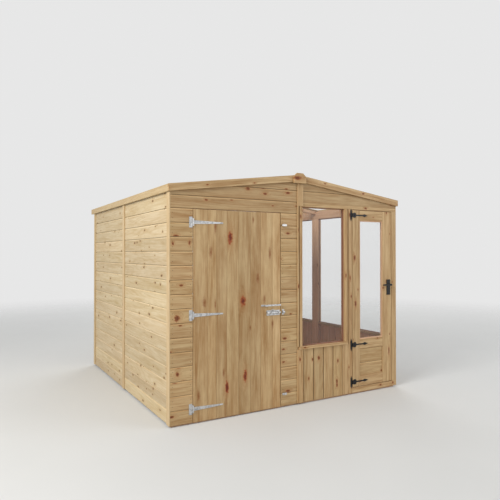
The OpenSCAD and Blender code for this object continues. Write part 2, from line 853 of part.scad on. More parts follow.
module greenhouse_door_pane() {
    placed(clear_pane) block(glass_x, around(glazed_door_t / 2, pane_t), glass_z);
}

module handle_plate() {
    placed(black_iron) block(around(lever_x, lever_plate_w), [-2 * hinge_t, 0],
        [lever_z - 2 * lever_plate_h / 3, lever_z + lever_plate_h / 3]);
}

// Lever that points to the hinge side, on a round neck
module lever_handle() {
    neck_y = [-lever_out, -2 * hinge_t - pin_clear];
    end_r = lever_bar_h / 3;
    placed(black_iron) {
        along_y(neck_y) translate([lever_x, lever_z]) circle(r = lever_neck_r);
        along_y([-lever_out, lever_bar_t - lever_out]) union() {
            polygon([
                [lever_x, lever_z - lever_bar_h / 2],
                [lever_x, lever_z + lever_bar_h / 2],
                [lever_x - lever_len, lever_z + end_r],
                [lever_x - lever_len, lever_z - end_r]
            ]);
            translate([lever_x - lever_len, lever_z]) circle(r = end_r);
        }
    }
}

joists();
floor_deck();
bottom_rails();
wall_studs();
top_rails();
front_side_cladding();
front_gable_cladding();
left_wall_cladding();
back_wall_cladding();
low_boards();
window_sills();
greenhouse_posts();
greenhouse_rails();
window_panes();
cover_strips();
corner_trims();
eaves_fascias();
barge_boards();
apex_blocks();
ridge_beam();
rafters();
roof_boards();
roof_felt();
roof_panes();
glazing_bars();
ridge_cap();
shed_hinge_plates();
greenhouse_hinge_plates();
bolt_keep();
shed_door_boards();
shed_door_ledges();
shed_door_braces();
shed_hinge_straps();
bolt_plate();
pull_handle();
bolt_rod();
turn_button_top();
turn_button_bottom();
greenhouse_door_stiles();
greenhouse_door_rails();
greenhouse_door_boards();
greenhouse_door_pane();
greenhouse_hinge_straps();
handle_plate();
lever_handle();
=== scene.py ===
import math
import random

import bmesh
import bpy
from mathutils import Matrix, Vector


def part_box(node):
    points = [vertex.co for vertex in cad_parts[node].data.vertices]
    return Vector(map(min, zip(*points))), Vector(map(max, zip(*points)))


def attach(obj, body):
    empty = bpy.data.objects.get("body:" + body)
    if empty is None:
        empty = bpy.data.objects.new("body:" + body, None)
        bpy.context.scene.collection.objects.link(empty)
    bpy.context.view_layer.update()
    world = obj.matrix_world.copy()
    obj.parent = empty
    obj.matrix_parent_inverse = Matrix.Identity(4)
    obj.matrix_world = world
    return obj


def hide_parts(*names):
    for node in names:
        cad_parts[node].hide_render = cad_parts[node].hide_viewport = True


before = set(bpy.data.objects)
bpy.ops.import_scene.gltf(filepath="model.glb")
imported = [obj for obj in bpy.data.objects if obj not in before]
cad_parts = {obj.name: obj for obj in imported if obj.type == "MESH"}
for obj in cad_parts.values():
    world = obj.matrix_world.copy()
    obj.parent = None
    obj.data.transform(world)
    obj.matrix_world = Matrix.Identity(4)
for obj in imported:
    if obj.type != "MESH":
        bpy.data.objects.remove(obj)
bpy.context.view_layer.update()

dice = random.Random(41)
axisX, axisY, axisZ = Vector((1, 0, 0)), Vector((0, 1, 0)), Vector((0, 0, 1))
toFront, toBack, toLeft, toRight = -axisY, axisY, -axisX, axisX
print("frame loaded", len(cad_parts), "nodes")


# walls, heights and slope, read from the frame
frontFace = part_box("front_side_cladding")[0].y
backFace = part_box("back_wall_cladding")[1].y
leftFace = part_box("left_wall_cladding")[0].x
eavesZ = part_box("left_wall_cladding")[1].z
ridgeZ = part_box("ridge_beam")[1].z
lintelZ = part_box("front_side_cladding")[1].z
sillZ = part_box("window_sills")[0].z
slopeAngle = math.atan2(ridgeZ - eavesZ, -leftFace)
cornerFoot = Vector((leftFace, frontFace, 0))


def addObject(name, data):
    made = bpy.data.objects.new(name, data)
    bpy.context.scene.collection.objects.link(made)
    return made


# camera, at the place where the photograph was taken from
camera = {
    "lens": 35.56,  # millimetres
    "sensor": 36.0,
    "fromCorner": (-1.3584, -3.5496, 1.3215),  # metres from the foot of the front left corner
    "yaw": 0.5255,  # radians
    "pitch": 0.0083,
}
cameraData = bpy.data.cameras.new("photoCamera")
cameraData.lens = camera["lens"]
cameraData.sensor_width = camera["sensor"]
cameraObject = addObject("photoCamera", cameraData)
cameraObject.location = cornerFoot + Vector(camera["fromCorner"])
cameraObject.rotation_euler = (math.pi / 2 + camera["pitch"], 0, -camera["yaw"])
bpy.context.scene.camera = cameraObject


# node helpers
def srgb(red, green, blue):  # to linear light, by the standard curve
    channels = []
    for value in (red, green, blue):
        share = value / 255
        channels.append(share / 12.92 if share <= 0.04045 else ((share + 0.055) / 1.055) ** 2.4)
    return (*channels, 1.0)


def plug(tree, socket, value):
    if isinstance(value, bpy.types.NodeSocket):
        tree.links.new(value, socket)
    else:
        socket.default_value = value


def calc(tree, operation, first, second=0.0, third=0.0):
    node = tree.nodes.new("ShaderNodeMath")
    node.operation = operation
    for socket, value in zip(node.inputs, (first, second, third)):
        plug(tree, socket, value)
    return node.outputs[0]


def blendColour(tree, share, first, second, mode="MIX"):
    node = tree.nodes.new("ShaderNodeMix")
    node.data_type = "RGBA"
    node.blend_type = mode
    plug(tree, node.inputs["Factor"], share)
    plug(tree, node.inputs["A"], first)
    plug(tree, node.inputs["B"], second)
    return node.outputs["Result"]


def dim(tree, colour, level):
    return blendColour(tree, 1.0, colour, spot(tree, level, level, level), "MULTIPLY")


def fade(tree, value, low, high):
    node = tree.nodes.new("ShaderNodeMapRange")
    node.interpolation_type = "SMOOTHSTEP"
    plug(tree, node.inputs["Value"], value)
    node.inputs["From Min"].default_value = low
    node.inputs["From Max"].default_value = high
    return node.outputs["Result"]


def spot(tree, x, y, z=0.0):
    node = tree.nodes.new("ShaderNodeCombineXYZ")
    for socket, value in zip(node.inputs, (x, y, z)):
        plug(tree, socket, value)
    return node.outputs[0]


def split(tree, vector):
    node = tree.nodes.new("ShaderNodeSeparateXYZ")
    tree.links.new(vector, node.inputs[0])
    return node.outputs


def noise(tree, vector, scale, detail=2.0, rough=0.5):
    node = tree.nodes.new("ShaderNodeTexNoise")
    node.inputs["Scale"].default_value = scale
    node.inputs["Detail"].default_value = detail
    node.inputs["Roughness"].default_value = rough
    plug(tree, node.inputs["Vector"], vector)
    return node.outputs["Fac"]


def attribute(tree, name):
    node = tree.nodes.new("ShaderNodeAttribute")
    node.attribute_name = name
    return node.outputs["Fac"]


def objectPlace(tree):
    return tree.nodes.new("ShaderNodeTexCoord").outputs["Object"]


def startMaterial(name):
    material = bpy.data.materials.new(name)
    material.use_nodes = True
    tree = material.node_tree
    return material, tree, tree.nodes["Principled BSDF"]


def giveBump(tree, shader, height, distance, strength=1.0):
    node = tree.nodes.new("ShaderNodeBump")
    node.inputs["Strength"].default_value = strength
    node.inputs["Distance"].default_value = distance
    plug(tree, node.inputs["Height"], height)
    tree.links.new(node.outputs["Normal"], shader.inputs["Normal"])


# pine: growth lines, fibres, streaks and knots follow each board's own grain map
boardPine = {
    "early": srgb(204, 179, 136),
    "late": srgb(134, 91, 38),
    "pink": srgb(180, 141, 99),
    "yellow": srgb(186, 156, 106),
    "knotCore": srgb(92, 42, 22),
    "knotRim": srgb(142, 82, 44),
    "knotGlow": srgb(166, 118, 72),
    "smudge": srgb(126, 70, 28),
    "knotShare": 0.42,
    "knotSize": 0.08,
    "broad": 0.46,
    "medium": 0.18,
    "mottle": 0.14,
    "rings": 0.18,
    "fineness": 1.0,
    "blush": 0.22,
    "hueShare": 0.18,
    "toneSpread": 0.06,
    # strength of the painted shade and painted highlight in the board joints
    "jointPaintedShadingStrength": 0.62,
    "roughness": 0.62,
}
# left wall copy, paler than the front: partly the wood, partly painted light of the lit left side
sideBoardPinePaintedLight = dict(boardPine, early=srgb(207, 192, 162), late=srgb(164, 137, 92), pink=srgb(196, 168, 134),
                     yellow=srgb(198, 176, 126), knotCore=srgb(84, 60, 38), knotRim=srgb(136, 103, 64),
                     knotGlow=srgb(180, 148, 102), knotShare=0.5, knotSize=0.075, jointPaintedShadingStrength=0.5, blush=0.15,
                     toneSpread=0.09)
trimPine = dict(boardPine, early=srgb(213, 186, 142), late=srgb(132, 86, 33), knotShare=0.34, knotSize=0.06,
                broad=0.56, rings=0.12, fineness=1.7)
# left wall trims in a paler copy too, partly painted light of the lit side
sideTrimPinePaintedLight = dict(sideBoardPinePaintedLight, early=srgb(208, 186, 148), late=srgb(170, 140, 98), knotShare=0.2,
                    knotSize=0.06)
framePine = dict(boardPine, early=srgb(228, 192, 157), late=srgb(186, 138, 106), pink=srgb(208, 162, 130),
                 knotShare=0.35, roughness=0.78)
doorBackPine = dict(framePine, early=srgb(210, 177, 136), late=srgb(152, 108, 68), pink=srgb(190, 148, 108))
# window beads darker and redder than the frame: painted shade of the window reveal
beadShadePine = dict(framePine, early=srgb(158, 112, 86), late=srgb(112, 72, 54), pink=srgb(140, 92, 72),
                knotShare=0.0)
doorPine = dict(boardPine, early=srgb(203, 177, 134), late=srgb(134, 90, 37), knotCore=srgb(86, 24, 12),
                knotRim=srgb(150, 68, 32), knotShare=0.0, medium=0.14, rings=0.1, fineness=0.7,
                toneSpread=0.12, hueShare=0.12, jointPaintedShadingStrength=0.2, broad=0.6)


pineGrain = {  # what all these finishes share
    "knotCells": (4.2, 9.0),  # waves to a metre, along and across the board
    "rings": (0.5, 9.0),
    "broad": (1.3, 19.0),
    "medium": (3.5, 85.0),
    "mottle": (9.0, 30.0),
    "blush": (0.8, 7.0),
    "fibre": (7.0, 380.0),
    "blushShift": 7.0,
    "ringCount": 120.0,
    "ringEdge": (-0.6, 1.0),
    "stripeEdge": (0.32, 0.68),
    "ringBend": 0.12,  # how far growth lines and streaks bend round the knots
    "streakBend": 0.018,
    "knotEdge": (70.0, 0.006),  # scale and depth of ragged edges
    "ownKnotEdge": (60.0, 1.6),
    "leastKnot": 0.4,
    "farOff": 9.0,  # a reach that no knot colours
    "hueSpread": 5.3,
    "fibreLevel": (0.26, 0.87),
    "roughSpread": 0.2,
    "gloss": 0.3,
    "lineRelief": 0.35,
    "fibreRelief": 0.7,
    "bump": (0.0006, 0.5),  # distance and strength
}
knotZones = {  # reach where a zone starts, reach where it is full, strength
    "smudge": (2.0, -0.2, 0.85),
    "knotGlow": (3.2, 0.8, 0.35),
    "knotRim": (1.15, 0.8, 0.85),
    "knotCore": (0.75, 0.35, 0.8),
}


def stretched(tree, along, across, waves):
    return spot(tree, calc(tree, "MULTIPLY", along, waves[0]), calc(tree, "MULTIPLY", across, waves[1]))


def stripes(tree, along, across, waves, fineness=1.0):
    place = stretched(tree, along, across, (waves[0], waves[1] * fineness))
    return fade(tree, noise(tree, place, 1.0, 4.0, 0.62), *pineGrain["stripeEdge"])


def randomKnots(tree, look, along, across):
    scale, depth = pineGrain["knotEdge"]
    ragged = calc(tree, "MULTIPLY_ADD", noise(tree, spot(tree, along, across), scale), depth, across)
    cells = tree.nodes.new("ShaderNodeTexVoronoi")  # one knot to a cell at most
    cells.voronoi_dimensions = "2D"
    cells.inputs["Scale"].default_value = 1.0
    plug(tree, cells.inputs["Vector"], stretched(tree, along, ragged, pineGrain["knotCells"]))
    draw = tree.nodes.new("ShaderNodeSeparateColor")
    tree.links.new(cells.outputs["Color"], draw.inputs[0])
    leastSize = look["knotSize"] * pineGrain["leastKnot"]
    size = calc(tree, "MULTIPLY_ADD", draw.outputs[1], look["knotSize"], leastSize)
    reach = calc(tree, "DIVIDE", cells.outputs["Distance"], size)
    chosen = calc(tree, "LESS_THAN", draw.outputs[0], look["knotShare"])
    return calc(tree, "MULTIPLY_ADD", calc(tree, "SUBTRACT", 1.0, chosen), pineGrain["farOff"], reach)


def ownKnots(tree, spots, side, nearest):
    place = objectPlace(tree)
    x, y, z = split(tree, place)
    level = y if side == "left" else x
    scale, depth = pineGrain["ownKnotEdge"]
    ragged = calc(tree, "MULTIPLY_ADD", noise(tree, place, scale, 3.0, 0.6), depth, -depth / 2)
    if side == "front":  # none on the back wall
        behind = calc(tree, "GREATER_THAN", y, frontFace + 0.1)
        ragged = calc(tree, "MULTIPLY_ADD", behind, pineGrain["farOff"], ragged)
    for knotX, knotZ, halfW, halfH in spots:
        sideways = calc(tree, "DIVIDE", calc(tree, "SUBTRACT", level, knotX), halfW)
        upward = calc(tree, "DIVIDE", calc(tree, "SUBTRACT", z, knotZ), halfH)
        square = calc(tree, "MULTIPLY_ADD", sideways, sideways, calc(tree, "MULTIPLY", upward, upward))
        reach = calc(tree, "ADD", calc(tree, "SQRT", square), ragged)
        nearest = calc(tree, "MINIMUM", nearest, reach)
    return nearest


def stain(tree, colour, reach, look, zone):
    start, full, strength = knotZones[zone]
    cover = calc(tree, "MULTIPLY", fade(tree, reach, start, full), strength)
    return blendColour(tree, cover, colour, look[zone])


def pineMaterial(name, look, spots=(), side="front", smudges=()):
    material, tree, shader = startMaterial(name)
    grain = tree.nodes.new("ShaderNodeUVMap")
    grain.uv_map = "grain"
    along, across, _ = split(tree, grain.outputs[0])
    reach = randomKnots(tree, look, along, across)
    if spots:
        reach = ownKnots(tree, spots, side, reach)

    # growth lines and streaks bend round the knots
    glow = fade(tree, reach, *knotZones["knotGlow"][:2])
    slow = noise(tree, stretched(tree, along, across, pineGrain["rings"]), 1.0, 1.5, 0.4)
    bent = calc(tree, "MULTIPLY_ADD", glow, pineGrain["ringBend"], slow)
    wave = calc(tree, "SINE", calc(tree, "MULTIPLY", bent, pineGrain["ringCount"]))
    lines = fade(tree, wave, *pineGrain["ringEdge"])
    swept = calc(tree, "MULTIPLY_ADD", glow, pineGrain["streakBend"], across)
    share = calc(tree, "MULTIPLY", lines, look["rings"])
    for streak in ("broad", "medium", "mottle"):
        shade = stripes(tree, along, swept, pineGrain[streak], look["fineness"])
        share = calc(tree, "MULTIPLY_ADD", shade, look[streak], share)
    colour = blendColour(tree, share, look["early"], look["late"])

    # warmer heartwood, then each board's own hue and tone
    shifted = calc(tree, "ADD", along, pineGrain["blushShift"])
    blush = stripes(tree, shifted, across, pineGrain["blush"])
    colour = blendColour(tree, calc(tree, "MULTIPLY", blush, look["blush"]), colour, look["pink"])
    tone = attribute(tree, "boardTone")
    hue = calc(tree, "FRACT", calc(tree, "MULTIPLY", tone, pineGrain["hueSpread"]))
    colour = blendColour(tree, look["hueShare"], colour, blendColour(tree, hue, look["pink"], look["yellow"]))
    fibre = noise(tree, stretched(tree, along, across, pineGrain["fibre"]), 1.0, 3.0, 0.6)
    level = calc(tree, "MULTIPLY_ADD", fibre, *pineGrain["fibreLevel"])
    level = calc(tree, "MULTIPLY", level, calc(tree, "MULTIPLY_ADD", tone, look["toneSpread"], 1.0))
    colour = dim(tree, colour, level)

    if smudges:
        soft = ownKnots(tree, smudges, side, pineGrain["farOff"])
        colour = stain(tree, colour, soft, look, "smudge")
    for zone in ("knotGlow", "knotRim", "knotCore"):
        colour = stain(tree, colour, reach, look, zone)
    joint = attribute(tree, "paintedShadeAndHighlight")  # painted shade in the slots between boards and a painted highlight on the coves
    colour = dim(tree, colour, calc(tree, "MULTIPLY_ADD", joint, -look["jointPaintedShadingStrength"], 1.0))
    tree.links.new(colour, shader.inputs["Base Color"])

    spread = pineGrain["roughSpread"]
    rough = calc(tree, "MULTIPLY_ADD", fibre, spread, look["roughness"] - spread / 2)
    tree.links.new(rough, shader.inputs["Roughness"])
    shader.inputs["Specular IOR Level"].default_value = pineGrain["gloss"]
    relief = calc(tree, "MULTIPLY", fibre, pineGrain["fibreRelief"])
    relief = calc(tree, "MULTIPLY_ADD", lines, pineGrain["lineRelief"], relief)
    giveBump(tree, shader, relief, *pineGrain["bump"])
    return material


# knots that stand out: distance from a corner, height, half width and half height
doorKnots = [  # from the shed door's left edge
    (0.325, 1.456, 0.020, 0.056), (0.444, 0.936, 0.024, 0.044), (0.465, 0.315, 0.016, 0.048),
    (0.295, 0.247, 0.015, 0.050),
]
doorSmudges = [
    (0.189, 1.541, 0.009, 0.046), (0.093, 0.937, 0.014, 0.030), (0.585, 1.122, 0.013, 0.034),
    (0.046, 0.212, 0.011, 0.034), (0.542, 1.607, 0.006, 0.022), (0.650, 0.941, 0.010, 0.026),
    (0.264, 0.369, 0.008, 0.024), (0.514, 0.710, 0.006, 0.016), (0.731, 0.725, 0.009, 0.030),
    (0.150, 1.336, 0.012, 0.036), (0.705, 1.330, 0.010, 0.040), (0.189, 0.920, 0.005, 0.034),
]
boardKnots = [  # from the front left corner
    (0.020, 1.403, 0.010, 0.012), (0.158, 1.412, 0.008, 0.020), (0.089, 1.081, 0.018, 0.010),
    (0.056, 0.828, 0.022, 0.026), (0.059, 0.400, 0.014, 0.018), (0.299, 1.751, 0.016, 0.008),
    (0.682, 1.865, 0.022, 0.014), (1.066, 1.888, 0.016, 0.006), (1.347, 0.380, 0.008, 0.016),
    (1.418, 0.385, 0.012, 0.022), (1.627, 0.150, 0.010, 0.022), (2.195, 0.180, 0.012, 0.010),
]
trimKnots = [  # from the front left corner
    (1.846, 1.288, 0.012, 0.028), (1.856, 0.853, 0.012, 0.030), (2.290, 0.365, 0.008, 0.045),
    (1.160, 1.986, 0.040, 0.018), (1.985, 1.760, 0.018, 0.009), (1.187, 1.039, 0.008, 0.020),
    (1.212, 1.655, 0.008, 0.018), (1.785, 1.690, 0.009, 0.020), (1.790, 1.098, 0.008, 0.018),
    (1.730, 1.122, 0.008, 0.020), (2.176, 0.045, 0.016, 0.009), (2.345, 0.045, 0.010, 0.016),
    (1.915, 0.113, 0.012, 0.010), (2.215, 0.990, 0.010, 0.014), (1.202, 0.395, 0.010, 0.016),
    (1.938, 1.896, 0.018, 0.008), (1.479, 1.960, 0.012, 0.006),
]
sideKnots = [  # from the front left corner, along the left wall
    (0.834, 1.427, 0.016, 0.012), (0.190, 1.150, 0.020, 0.010), (0.218, 1.079, 0.014, 0.012),
    (0.492, 0.815, 0.022, 0.012), (0.766, 0.795, 0.014, 0.010), (0.386, 0.211, 0.018, 0.012),
    (0.718, 0.338, 0.020, 0.012), (0.949, 0.207, 0.018, 0.012), (0.130, 0.356, 0.014, 0.010),
    (1.511, 0.724, 0.022, 0.012), (1.605, 0.376, 0.024, 0.012), (1.797, 0.645, 0.018, 0.012),
    (2.291, 0.609, 0.020, 0.012), (0.636, 1.206, 0.018, 0.010), (1.055, 1.255, 0.016, 0.010),
    (0.170, 1.499, 0.012, 0.010), (1.591, 1.556, 0.018, 0.010), (2.008, 1.451, 0.020, 0.010),
]


def spotsFrom(start, knots):
    return [(start + level, *others) for level, *others in knots]


pineBoards = pineMaterial("planedPineBoards", boardPine, spotsFrom(leftFace, boardKnots))
pineSidePaintedLight = pineMaterial("paleSideBoardsPaintedLight", sideBoardPinePaintedLight, spotsFrom(frontFace, sideKnots), "left")
pineTrim = pineMaterial("planedPineTrim", trimPine, spotsFrom(leftFace, trimKnots))
pineSideTrimPaintedLight = pineMaterial("paleSideTrimPaintedLight", sideTrimPinePaintedLight)
pineFrame = pineMaterial("sawnPineFrame", framePine)
pineDoorBack = pineMaterial("sawnDoorBack", doorBackPine)
pineBeadShade = pineMaterial("beadPaintedShade", beadShadePine)
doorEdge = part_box("shed_door_boards")[0].x
pineDoor = pineMaterial("doorPine", doorPine, spotsFrom(doorEdge, doorKnots), "front",
                        spotsFrom(doorEdge, doorSmudges))


# mineral felt
felt = {"base": srgb(78, 80, 82), "grit": srgb(132, 134, 134), "gritScale": 900.0, "gritEdge": (0.45, 0.68),
        "gritShare": 0.8, "cloudScale": 3.0, "cloudLevel": (0.35, 0.82), "roughness": 0.95,
        "bump": (0.0012, 0.7)}


def feltMaterial(look):
    material, tree, shader = startMaterial("mineralFelt")
    place = objectPlace(tree)
    grit = noise(tree, place, look["gritScale"], 2.0, 0.7)
    cloud = noise(tree, place, look["cloudScale"], 4.0, 0.6)
    share = calc(tree, "MULTIPLY", fade(tree, grit, *look["gritEdge"]), look["gritShare"])
    colour = blendColour(tree, share, look["base"], look["grit"])
    colour = dim(tree, colour, calc(tree, "MULTIPLY_ADD", cloud, *look["cloudLevel"]))
    tree.links.new(colour, shader.inputs["Base Color"])
    shader.inputs["Roughness"].default_value = look["roughness"]
    giveBump(tree, shader, grit, *look["bump"])
    return material


# bright zinc plate and black iron
zinc = {"base": srgb(206, 206, 206), "cloud": srgb(158, 159, 160), "cloudScale": 60.0,
        "cloudEdge": (0.35, 0.7), "metallic": 0.7, "roughness": 0.26, "roughSpread": 0.25, "gloss": 0.5,
        "bumpScale": 6, "bump": (0.0003, 0.4)}
iron = dict(zinc, base=srgb(13, 13, 14), cloud=srgb(28, 28, 30), cloudScale=90.0, metallic=0.0, roughness=0.4,
            gloss=0.3)


def metalMaterial(name, look):
    material, tree, shader = startMaterial(name)
    place = objectPlace(tree)
    cloud = noise(tree, place, look["cloudScale"], 4.0, 0.6)
    colour = blendColour(tree, fade(tree, cloud, *look["cloudEdge"]), look["base"], look["cloud"])
    tree.links.new(colour, shader.inputs["Base Color"])
    shader.inputs["Metallic"].default_value = look["metallic"]
    shader.inputs["Specular IOR Level"].default_value = look["gloss"]
    rough = calc(tree, "MULTIPLY_ADD", cloud, look["roughSpread"], look["roughness"])
    tree.links.new(rough, shader.inputs["Roughness"])
    giveBump(tree, shader, noise(tree, place, look["cloudScale"] * look["bumpScale"]), *look["bump"])
    return material


# clear sheet glazing with a faint haze
pane = {"tint": srgb(196, 206, 210), "alpha": 0.05, "roughness": 0.05, "smear": 0.1, "smearScale": 7.0,
        "waveScale": 2.4, "bump": (0.002, 0.15)}


def paneMaterial(look):
    material, tree, shader = startMaterial("clearPane")
    place = objectPlace(tree)
    shader.inputs["Base Color"].default_value = look["tint"]
    shader.inputs["Alpha"].default_value = look["alpha"]
    smear = noise(tree, place, look["smearScale"], 3.0)
    rough = calc(tree, "MULTIPLY_ADD", smear, look["smear"], look["roughness"])
    tree.links.new(rough, shader.inputs["Roughness"])
    giveBump(tree, shader, noise(tree, place, look["waveScale"]), *look["bump"])
    return material


mineralFelt = feltMaterial(felt)
brightZinc = metalMaterial("brightZinc", zinc)
blackIron = metalMaterial("blackIron", iron)
clearPane = paneMaterial(pane)
print("materials made")


# mesh helpers
weldReach = 1e-5  # points nearer than this are one
tiny = 1e-6
flush = 0.001  # within this of a wall's face is on it
flatAngle = math.radians(1)
grainShift = 40.0  # each timber starts at its own place in the grain
timberEase = 0.0018


def startMesh():
    bm = bmesh.new()
    bm.loops.layers.uv.new("grain")
    bm.faces.layers.float.new("boardTone")
    # per-face share of painted shade (above zero) and painted highlight (below zero) at board joints
    bm.faces.layers.float.new("paintedShadeAndHighlight")
    return bm


def finishPiece(name, bm, materials, body, nodes=()):
    mesh = bpy.data.meshes.new(name)
    bm.to_mesh(mesh)
    bm.free()
    for material in materials:
        mesh.materials.append(material)
    piece = addObject(name, mesh)
    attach(piece, body)
    if nodes:
        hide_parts(*nodes)


def copyOfNode(node):
    bm = startMesh()
    bm.from_mesh(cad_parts[node].data)
    bmesh.ops.remove_doubles(bm, verts=bm.verts[:], dist=weldReach)
    shared = [edge for edge in bm.edges if len(edge.link_faces) > 2]
    if shared:  # solids that only meet along an edge come apart again
        bmesh.ops.split_edges(bm, edges=shared)
        for island in islandsOf(bm):
            verts = list(dict.fromkeys(vert for face in island for vert in face.verts))
            bmesh.ops.remove_doubles(bm, verts=verts, dist=weldReach)
    bmesh.ops.dissolve_limit(bm, angle_limit=flatAngle, verts=bm.verts[:], edges=bm.edges[:])
    return bm


def islandsOf(bm):
    waiting, islands = set(bm.faces), []
    for first in bm.faces:
        if first not in waiting:
            continue
        waiting.remove(first)
        stack, island = [first], []
        while stack:
            face = stack.pop()
            island.append(face)
            for edge in face.edges:
                for other in edge.link_faces:
                    if other in waiting:
                        waiting.remove(other)
                        stack.append(other)
        islands.append(island)
    return islands


def edgesAt(verts):
    return list(dict.fromkeys(edge for vert in verts for edge in vert.link_edges))


def facesAt(verts):
    return list(dict.fromkeys(face for vert in verts for face in vert.link_faces))


def cornersOf(faces):
    points = [vert.co for face in faces for vert in face.verts]
    low = Vector([min(p[i] for p in points) for i in range(3)])
    high = Vector([max(p[i] for p in points) for i in range(3)])
    return low, high


def solidBoxes(node):
    bm = copyOfNode(node)
    boxes = [cornersOf(island) for island in islandsOf(bm)]
    bm.free()
    return sorted(boxes, key=lambda pair: [round(v, 4) for v in (*pair[0], *pair[1])])


def longestAxis(size):
    return (axisX, axisY, axisZ)[max(range(3), key=lambda i: size[i])]


def upSlope(side):
    return Vector((math.cos(slopeAngle), 0, side * math.sin(slopeAngle)))  # side 1 climbs to the right


def mapGrain(bm, faces, along, tone=None):
    uvs = bm.loops.layers.uv["grain"]
    tones = bm.faces.layers.float["boardTone"]
    shift = (dice.uniform(0, grainShift), dice.uniform(0, grainShift))
    drawn = dice.uniform(-1, 1)
    for face in faces:
        face.normal_update()
        face[tones] = drawn if tone is None else tone
        across = face.normal.cross(along)
        if across.length < 0.5:  # end grain
            second = axisZ if abs(along.z) < 0.7 else axisX
            first = along.cross(second)
        else:
            first, second = along, across.normalized()
        for loop in face.loops:
            loop[uvs].uv = (loop.vert.co.dot(first) + shift[0], loop.vert.co.dot(second) + shift[1])


def roundEdges(bm, edges, width):
    return bmesh.ops.bevel(bm, geom=edges, offset=width, offset_type="OFFSET", affect="EDGES", segments=2,
                           profile=0.5, clamp_overlap=True, material=-1)


def addTimber(bm, low, high, ease=timberEase):
    size = high - low
    verts = bmesh.ops.create_cube(bm, size=1.0)["verts"]
    bmesh.ops.scale(bm, vec=size, verts=verts)
    bmesh.ops.translate(bm, vec=(low + high) / 2, verts=verts)
    rounded = roundEdges(bm, edgesAt(verts), ease)["verts"]
    mapGrain(bm, facesAt(rounded), longestAxis(size))


# timbers that keep their solid's shape, with eased edges and their own grain
def dressTimber(name, node, material, body, ease=timberEase, sloped=False):
    materials = [material]
    bm = copyOfNode(node)
    roundEdges(bm, bm.edges[:], ease)
    for island in islandsOf(bm):
        low, high = cornersOf(island)
        along = longestAxis(high - low)
        if sloped and along == axisX:
            along = upSlope(1 if low.x + high.x < 0 else -1)
        mapGrain(bm, island, along)
        if material == pineTrim and high.x < leftFace + flush:  # trims on the left wall take its paler copy, partly painted light of the lit side
            materials = [pineTrim, pineSideTrimPaintedLight]
            for face in island:
                face.material_index = 1
    finishPiece(name, bm, materials, body, [node])


# boards: an outline of (depth from the face, height) points is drawn out along the board
shiplap = {"pitch": 0.111, "gablePitch": 0.101, "cove": 0.011, "coveSteps": 3, "deep": 0.005, "slot": 0.0026,
           "ease": 0.0012, "gap": 0.0003, "buttGap": 0.001, "gablePaintedShade": -1.5, "leftLeastTop": 0.05}
lowJoint = {"pitch": 0.112, "slot": 0.006, "deep": 0.008, "ease": 0.0015, "gap": 0.0003}
doorJoint = {"slot": 0.0008, "deep": 0.003, "ease": 0.001, "gap": 0.0002}
deckJoint = {"pitch": 0.112, "slot": 0.0015, "deep": 0.005, "ease": 0.001, "gap": 0.0003}
jointPaintedShading = {"slot": 1.0, "edge": -0.3, "slotShare": 0.9, "edgeShare": 0.03, "steep": 0.3}  # slots get painted shade, cove faces a painted highlight
rowLimits = {"leastTop": 0.01, "leastBoard": 0.012}


def shiplapOutline(height, thick):
    deep, slot, ease = shiplap["deep"], shiplap["slot"], shiplap["ease"]
    height -= shiplap["gap"]
    cove = min(shiplap["cove"], (height - slot - ease) / 2)
    arc = []
    for step in range(shiplap["coveSteps"] + 1):
        turn = math.pi / 2 * step / shiplap["coveSteps"]
        arc.append((deep * (1 - math.cos(turn)), height - slot - cove + cove * math.sin(turn)))
    return [(thick - ease, 0), (ease, 0), (0, ease), *arc, (deep, height), (thick - ease, height),
            (thick, height - ease), (thick, ease)]


def tonguedOutline(width, thick, joint):
    half, deep, ease = joint["slot"] / 2, joint["deep"], joint["ease"]
    width -= joint["gap"]
    near = [(deep, 0), (deep, half), (ease, half), (0, half + ease)]
    far = [(depth, width - height) for depth, height in reversed(near)]
    return [(thick - ease, 0), *near, *far, (thick - ease, width), (thick, width - ease), (thick, ease)]


def addBoard(bm, corner, along, stack, out, length, outline, deep, tone=None):
    before = set(bm.faces)
    face = bm.faces.new([bm.verts.new(corner + stack * height - out * depth) for depth, height in outline])
    grown = bmesh.ops.extrude_face_region(bm, geom=[face])["geom"]
    moved = [item for item in grown if isinstance(item, bmesh.types.BMVert)]
    bmesh.ops.translate(bm, verts=moved, vec=along * length)
    made = [item for item in bm.faces if item not in before]
    bmesh.ops.recalc_face_normals(bm, faces=made)
    mapGrain(bm, made, along, tone)
    paintedShadeAndHighlight = bm.faces.layers.float["paintedShadeAndHighlight"]
    for item in made:
        facing = item.normal.dot(out)
        item.material_index = int(facing < -0.5)  # the inside is sawn
        # faces in a joint's slot get painted shade, the upward cove faces a painted highlight
        if abs(item.normal.dot(along)) < 0.7 and facing > -0.9:
            share = (corner - item.calc_center_median()).dot(out) / deep
            sunk = share > jointPaintedShading["edgeShare"]
            if share > jointPaintedShading["slotShare"] or sunk and facing < jointPaintedShading["steep"]:
                item[paintedShadeAndHighlight] = jointPaintedShading["slot"]
            elif sunk:
                item[paintedShadeAndHighlight] = jointPaintedShading["edge"]


def rowBreaks(low, high, anchor, pitch, leastTop=rowLimits["leastTop"]):
    place = anchor + math.ceil((low - anchor) / pitch + tiny) * pitch
    breaks = [low]
    while place < high - leastTop:
        if place - breaks[-1] > rowLimits["leastBoard"]:
            breaks.append(place)
        place += pitch
    return [*breaks, high]


def faceCorner(low, high, out):
    return Vector([high[i] if out[i] > 0.5 else low[i] for i in range(3)])


